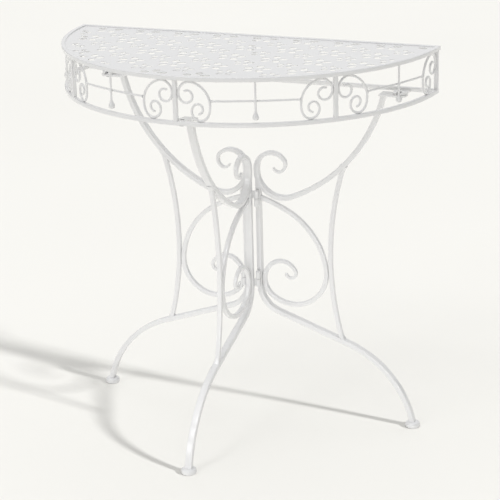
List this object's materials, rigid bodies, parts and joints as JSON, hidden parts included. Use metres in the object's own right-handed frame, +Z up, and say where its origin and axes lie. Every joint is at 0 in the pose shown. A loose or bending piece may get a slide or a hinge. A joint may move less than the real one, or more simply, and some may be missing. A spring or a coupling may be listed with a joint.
{
  "type": "demilune table",
  "caption": "Half-round metal side table with a pierced flower top, a scrolled apron and scrolled leg panels that hinge together and fold flat.",
  "frame": {"origin": "on the floor, under the middle of the bounding box", "axes": "+Z up, X along the straight back edge, the round front and the front leg towards -Y"},
  "size_m": [0.76, 0.3936, 0.78],
  "materials": {
    "white_paint": "satin white powder coat"
  },
  "bodies": {
    "front_leg": {"front_arm": "white_paint", "front_brace": "white_paint", "front_c_scroll": "white_paint", "front_foot": "white_paint", "front_leg_bar": "white_paint", "front_tab": "white_paint", "left_high_hinge_front_half": "white_paint", "left_low_hinge_front_half": "white_paint", "right_high_hinge_front_half": "white_paint", "right_low_hinge_front_half": "white_paint"},
    "left_leg": {"left_arm": "white_paint", "left_brace": "white_paint", "left_c_scroll": "white_paint", "left_foot": "white_paint", "left_high_hinge_side_half": "white_paint", "left_leg_bar": "white_paint", "left_low_hinge_side_half": "white_paint", "left_tab": "white_paint"},
    "right_leg": {"right_arm": "white_paint", "right_brace": "white_paint", "right_c_scroll": "white_paint", "right_foot": "white_paint", "right_high_hinge_side_half": "white_paint", "right_leg_bar": "white_paint", "right_low_hinge_side_half": "white_paint", "right_tab": "white_paint"},
    "tabletop": {"bay_1_drop": "white_paint", "bay_1_left_scroll": "white_paint", "bay_1_right_scroll": "white_paint", "bay_1_rod": "white_paint", "bay_2_drop": "white_paint", "bay_2_left_scroll": "white_paint", "bay_2_right_scroll": "white_paint", "bay_2_rod": "white_paint", "bay_3_drop": "white_paint", "bay_3_left_scroll": "white_paint", "bay_3_right_scroll": "white_paint", "bay_3_rod": "white_paint", "bay_4_drop": "white_paint", "bay_4_left_scroll": "white_paint", "bay_4_right_scroll": "white_paint", "bay_4_rod": "white_paint", "front_lug": "white_paint", "left_lug": "white_paint", "post_1": "white_paint", "post_2": "white_paint", "post_3": "white_paint", "post_4": "white_paint", "post_5": "white_paint", "rear_post": "white_paint", "rear_rail": "white_paint", "right_lug": "white_paint", "rim_arc": "white_paint", "rim_back_bar": "white_paint", "ring_arc": "white_paint", "top_sheet": "white_paint"}
  },
  "joints": [
    {"name": "right_leg_fold", "type": "hinge", "parent": "front_leg", "child": "right_leg", "pos_m": [0.0152, 0.14881, 0.37], "axis": [0, 0, -1], "range_deg": [0, 90]},
    {"name": "left_leg_fold", "type": "hinge", "parent": "front_leg", "child": "left_leg", "pos_m": [-0.0152, 0.14881, 0.37], "axis": [0, 0, 1], "range_deg": [0, 90]},
    {"name": "top_lift", "type": "slide", "parent": "front_leg", "child": "tabletop", "axis": [0, 0, 1], "range_m": [0, 0.2]}
  ]
}
